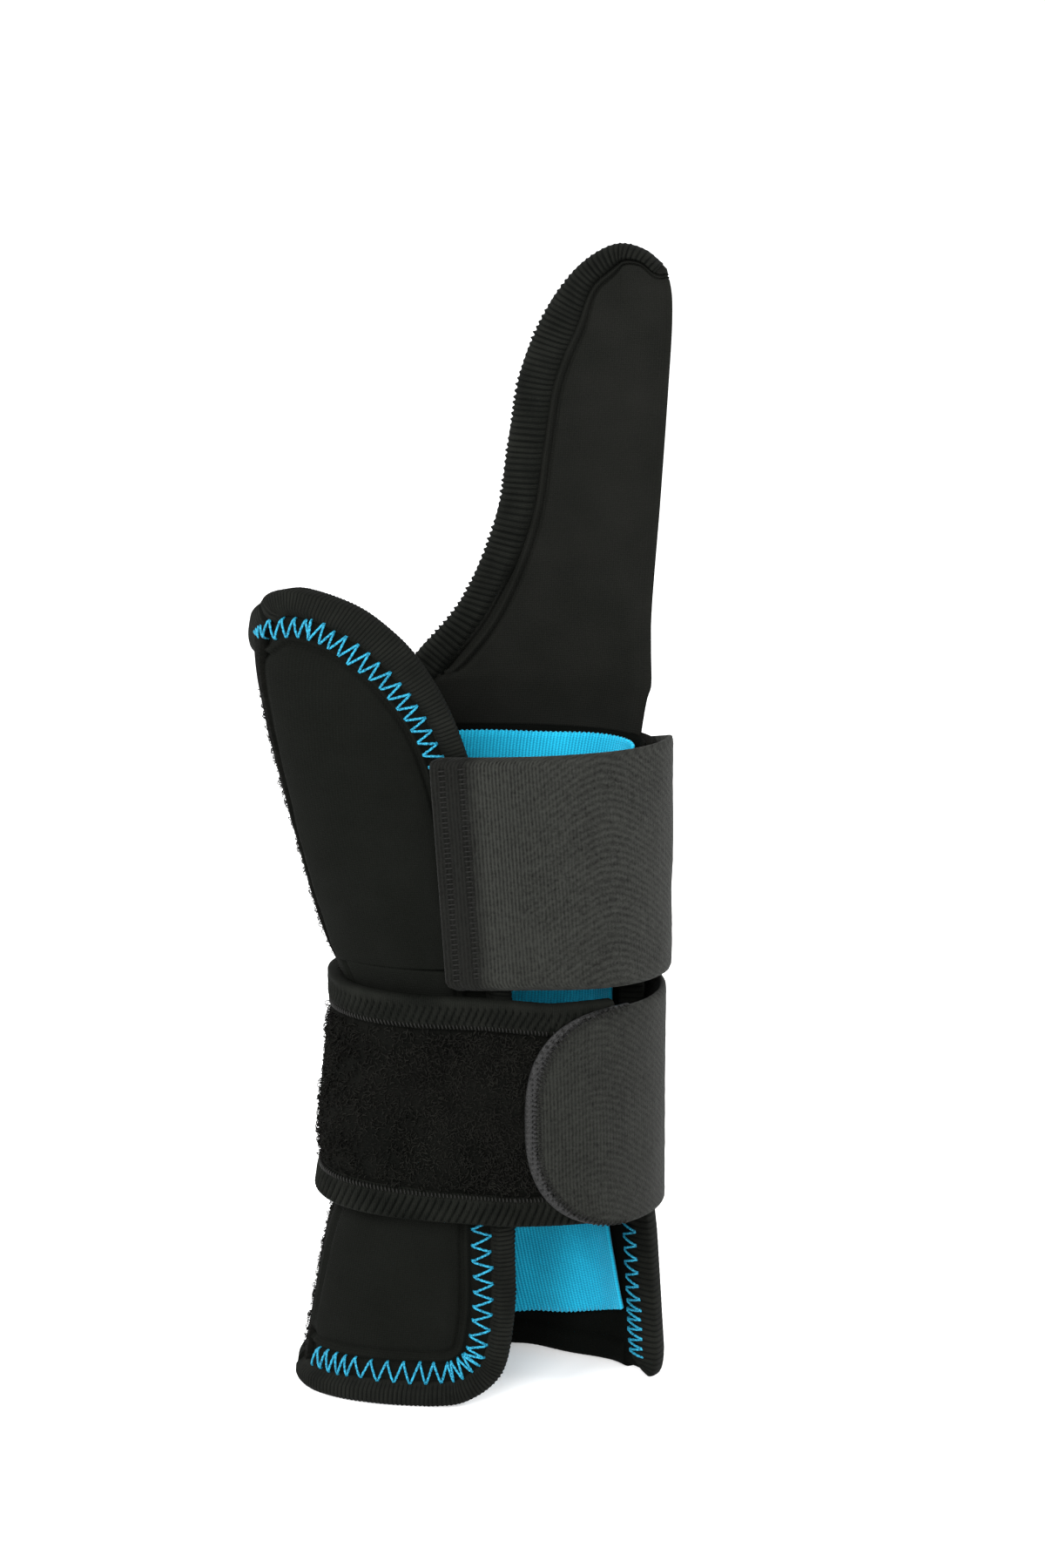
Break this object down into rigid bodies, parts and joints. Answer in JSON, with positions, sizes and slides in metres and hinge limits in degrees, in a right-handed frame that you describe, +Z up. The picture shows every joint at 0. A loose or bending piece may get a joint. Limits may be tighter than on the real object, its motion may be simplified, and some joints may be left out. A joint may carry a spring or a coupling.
{
  "type": "wrist support brace",
  "caption": "Neoprene wrist brace: a C-shaped wrap with a stiff finger tongue, a palm wing and hook-and-loop hand and wrist straps, for support of the wrist and hand.",
  "frame": {"origin": "bottom centre of the bounding box, on the plane of the lower hem the brace stands on", "axes": "+Z up from the forearm end to the fingertip, -Y towards the palm side where the straps close, +X towards the side where both straps are sewn on"},
  "size_m": [0.092, 0.0582, 0.2526],
  "materials": {
    "neoprene": "matte jersey-faced neoprene",
    "knit": "matte black knit lining",
    "pile": "fuzzy black loop pile",
    "tape": "ribbed black binding tape",
    "blue": "matte bright blue knit",
    "thread": "sheeny light blue thread",
    "webbing": "dark grey herringbone elastic",
    "hook": "black hook tape",
    "foam": "closed-cell foam",
    "stay_metal": "brushed",
    "stay_plastic": "matte black"
  },
  "bodies": {
    "wrap": {"back_lining": "knit", "back_core": "neoprene", "back_loop_cover": "pile", "dorsal_stay": "stay_metal", "blue_lining": "blue", "right_edge_binding": "tape", "back_top_binding": "tape", "back_hem_binding": "tape", "right_edge_stitching": "thread", "cuff_lining": "knit", "cuff_core": "neoprene", "cuff_cover": "neoprene", "cuff_stay": "stay_plastic", "cuff_binding": "tape", "cuff_stitching": "thread", "hand_strap_anchor": "webbing", "wrist_tab_anchor": "webbing", "wrist_band_anchor": "pile"},
    "finger_tongue": {"tongue_sleeve": "neoprene", "tongue_foam": "foam", "finger_stay": "stay_metal", "tongue_binding": "tape"},
    "palm_wing": {"wing_lining": "knit", "wing_core": "neoprene", "wing_cover": "neoprene", "palm_stay": "stay_plastic", "wing_binding": "tape", "wing_stitching": "thread"},
    "hand_strap": {"hand_strap_webbing": "webbing", "hand_strap_hook": "hook"},
    "wrist_tab": {"wrist_tab_webbing": "webbing", "wrist_tab_hook": "hook"},
    "wrist_band": {"wrist_band_core": "neoprene", "wrist_band_loop": "pile", "wrist_band_top_binding": "tape", "wrist_band_hem_binding": "tape"}
  },
  "joints": [
    {"name": "hand_strap_open", "type": "hinge", "parent": "wrap", "child": "hand_strap", "pos_m": [0.04562, 0.00025, 0.1214], "axis": [0, 0, 1], "range_deg": [0, 120]},
    {"name": "wrist_tab_open", "type": "hinge", "parent": "wrap", "child": "wrist_tab", "pos_m": [0.04307, 0.00025, 0.0661], "axis": [0, 0, 1], "range_deg": [0, 120]},
    {"name": "finger_tongue_flex", "type": "hinge", "parent": "wrap", "child": "finger_tongue", "pos_m": [0.01512, 0.01675, 0.154], "axis": [1, 0, 0], "range_deg": [-8, 15]},
    {"name": "palm_wing_open", "type": "hinge", "parent": "wrap", "child": "palm_wing", "pos_m": [-0.03848, -0.00375, 0.136], "axis": [0.2425, 0, -0.9701], "range_deg": [0, 36]},
    {"name": "wrist_band_open", "type": "hinge", "parent": "wrap", "child": "wrist_band", "pos_m": [-0.03308, 0.00025, 0.0677], "axis": [0, 0, -1], "range_deg": [0, 24]}
  ],
  "couplings": [
    {"joint": "palm_wing_open", "follows": "hand_strap_open", "ratio": 0.3},
    {"joint": "wrist_band_open", "follows": "wrist_tab_open", "ratio": 0.2}
  ]
}
